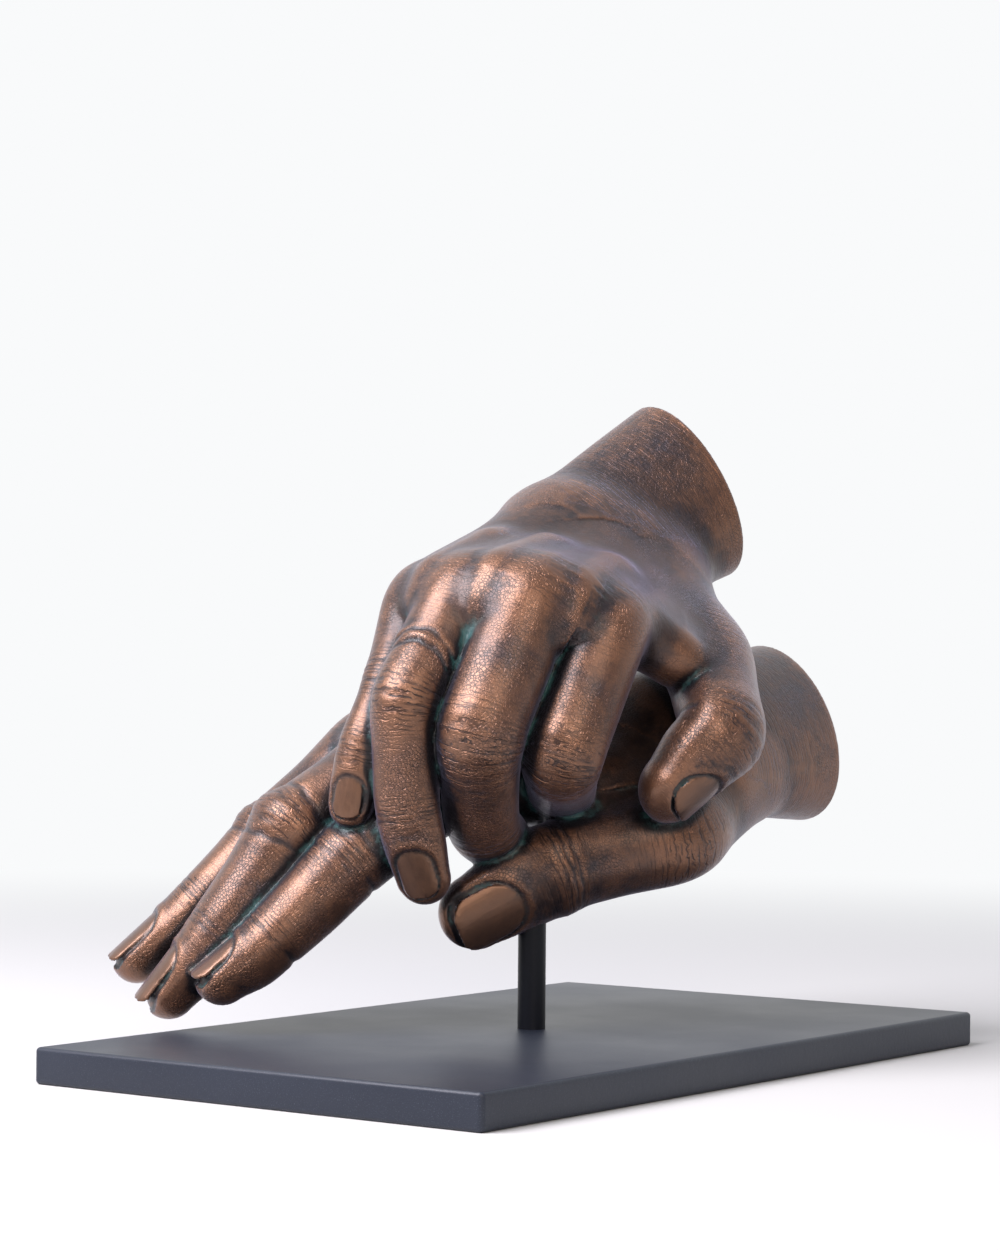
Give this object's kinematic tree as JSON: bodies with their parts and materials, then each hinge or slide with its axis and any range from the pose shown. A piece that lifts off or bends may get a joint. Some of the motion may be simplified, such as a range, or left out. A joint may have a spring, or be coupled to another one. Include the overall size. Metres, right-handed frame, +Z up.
{
  "type": "two hands sculpture",
  "caption": "Patinated bronze-look casting of right hands clasping each other, carried on a thin steel rod above a flat rectangular steel base plate; stands on a table or shelf.",
  "frame": {"origin": "middle of the base plate's flat underside, below the rod", "axes": "+X along the plate's long edge, +Y along its short edge, +Z up"},
  "size_m": [0.25, 0.1793, 0.1946],
  "materials": {
    "patinated_bronze": "brown patina over cast bronze, rubbed bright on the raised skin, with blue-green verdigris left in the creases",
    "rod_powder_coat": "satin anthracite powder coat",
    "plate_powder_coat": "fine-textured satin anthracite powder coat"
  },
  "bodies": {
    "root": {"cast_hands": "patinated_bronze", "stand_rod": "rod_powder_coat", "base_plate": "plate_powder_coat"}
  },
  "joints": []
}
